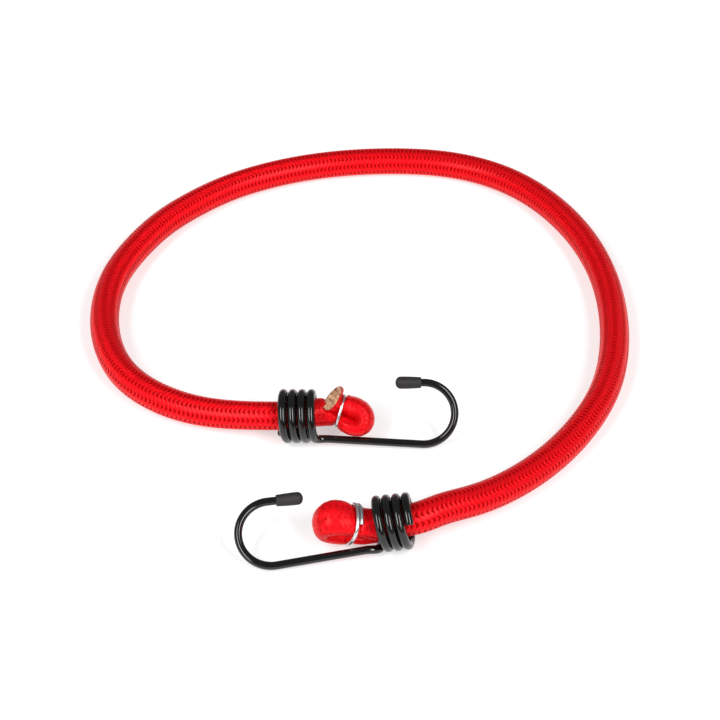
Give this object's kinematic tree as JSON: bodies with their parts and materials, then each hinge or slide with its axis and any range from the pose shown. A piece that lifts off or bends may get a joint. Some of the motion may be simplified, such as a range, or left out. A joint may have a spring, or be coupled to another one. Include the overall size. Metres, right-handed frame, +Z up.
{
  "type": "bungee cord",
  "caption": "Elastic cord in a braided sheath with a coated wire hook wound on at each end; the folded ends are held by wire clips and the cord lies in an open loop.",
  "frame": {"origin": "on the table, under the middle of the box round the two hooked ends", "axes": "+X along the first hook from its coil to its J, +Y from the second hook across the loop, +Z up from the table"},
  "size_m": [0.1765, 0.2068, 0.0191],
  "materials": {
    "hook_coat": "satin black coat",
    "vinyl_cap": "dull soft vinyl",
    "clip_wire": "bright drawn wire",
    "braid": "satin braid of synthetic yarn",
    "rubber_core": "plain cut latex"
  },
  "bodies": {
    "cord": {"sheath_loop": "braid", "sheath_run_b": "braid", "sheath_end_a": "braid", "wire_clip_a": "clip_wire", "rubber_strand_01": "rubber_core", "rubber_strand_02": "rubber_core", "rubber_strand_03": "rubber_core", "rubber_strand_04": "rubber_core", "rubber_strand_05": "rubber_core", "rubber_strand_06": "rubber_core", "rubber_strand_07": "rubber_core", "rubber_strand_08": "rubber_core", "rubber_strand_09": "rubber_core", "rubber_strand_10": "rubber_core", "rubber_strand_11": "rubber_core", "rubber_strand_12": "rubber_core"},
    "end_b": {"sheath_end_b": "braid", "wire_clip_b": "clip_wire"},
    "hook_a": {"hook_a": "hook_coat", "tip_cap_a": "vinyl_cap"},
    "hook_b": {"hook_b": "hook_coat", "tip_cap_b": "vinyl_cap"}
  },
  "joints": [
    {"name": "hook_a_swivel", "type": "hinge", "parent": "cord", "child": "hook_a", "pos_m": [-0.01614, 0.02541, 0.00825], "axis": [1, 0, 0], "range_deg": [-95, 35]},
    {"name": "cord_stretch", "type": "slide", "parent": "cord", "child": "end_b", "axis": [-0.9914, -0.1305, 0], "range_m": [0, 0.09], "stiffness_N_per_m": 1150, "deforming": ["sheath_run_b", "rubber_strand_01", "rubber_strand_02", "rubber_strand_03", "rubber_strand_04", "rubber_strand_05", "rubber_strand_06", "rubber_strand_07", "rubber_strand_08", "rubber_strand_09", "rubber_strand_10", "rubber_strand_11", "rubber_strand_12"]},
    {"name": "hook_b_swivel", "type": "hinge", "parent": "end_b", "child": "hook_b", "pos_m": [0.01286, -0.02129, 0.00845], "axis": [-0.991, -0.1305, -0.0297], "range_deg": [-20, 55]}
  ]
}
